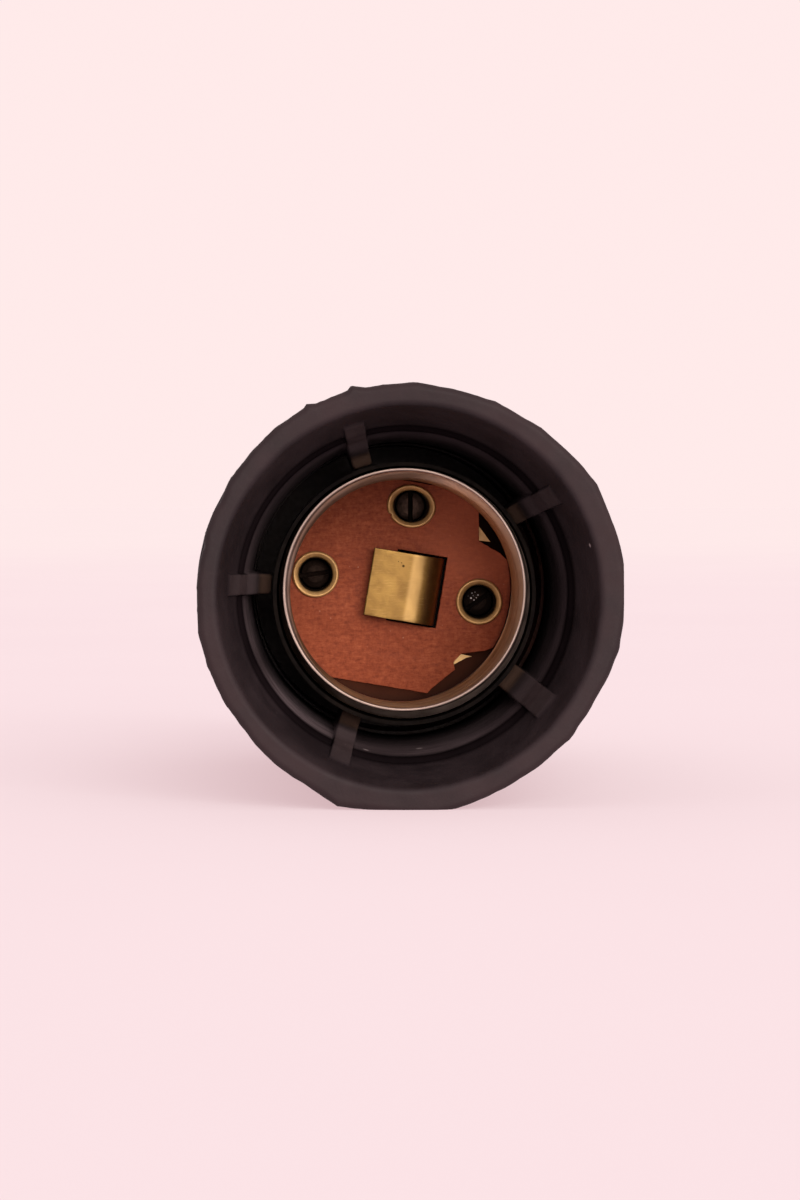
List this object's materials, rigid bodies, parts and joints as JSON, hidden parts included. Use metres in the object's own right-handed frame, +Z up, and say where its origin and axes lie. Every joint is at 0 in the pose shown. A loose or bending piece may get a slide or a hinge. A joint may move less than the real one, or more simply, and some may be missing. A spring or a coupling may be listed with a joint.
{
  "type": "rubber lamp holder",
  "caption": "Black rubber lamp holder lying on its side: flared ribbed mouth, nickel screw shell for an E27 lamp, red-brown fibre disc, brass centre contact, cable neck behind.",
  "frame": {"origin": "centre of the screw shell's rim, on the holder's axis", "axes": "+Y along the holder's axis from the mouth to the cable neck, +Z up with the holder lying on its side, +X to the right as one looks into the mouth"},
  "size_m": [0.0448, 0.089, 0.0446],
  "materials": {
    "rubber": "matt moulded black rubber, a little bloomed on the lip",
    "nickel_shell": "nickel-plated brass sheet, rolled",
    "sleeve": "dark varnished fibre tube",
    "fibre": "red-brown vulcanised fibre",
    "brass": "bare brass",
    "eyelet_brass": "dull pressed brass",
    "contact_brass": "rolled spring brass",
    "base": "dark brown phenolic moulding",
    "screw_steel": "plated steel, dull"
  },
  "bodies": {
    "holder": {"rubber_boot": "rubber", "screw_shell": "nickel_shell", "insulating_sleeve": "sleeve", "fibre_disc": "fibre", "shell_plate": "brass", "eyelet_right": "eyelet_brass", "eyelet_top": "eyelet_brass", "eyelet_left": "eyelet_brass", "base_block": "base", "fixing_screw_right": "screw_steel", "fixing_screw_top": "screw_steel", "fixing_screw_left": "screw_steel", "fixing_nut_right": "screw_steel", "fixing_nut_top": "screw_steel", "fixing_nut_left": "screw_steel", "line_terminal": "brass", "neutral_terminal": "brass", "line_terminal_screw": "screw_steel", "neutral_terminal_screw": "screw_steel", "contact_rivet": "brass", "neutral_rivet": "brass", "cord_saddle": "screw_steel", "saddle_screw_left": "screw_steel", "saddle_screw_right": "screw_steel"},
    "contact": {"centre_contact": "contact_brass"}
  },
  "joints": [
    {"name": "contact_flex", "type": "hinge", "parent": "holder", "child": "contact", "pos_m": [0.00456, 0.0224, -0.00077], "axis": [-0.1668, 0, -0.986], "range_deg": [0, 10], "stiffness_Nm_per_rad": 0.3, "deforming": ["centre_contact"]}
  ]
}
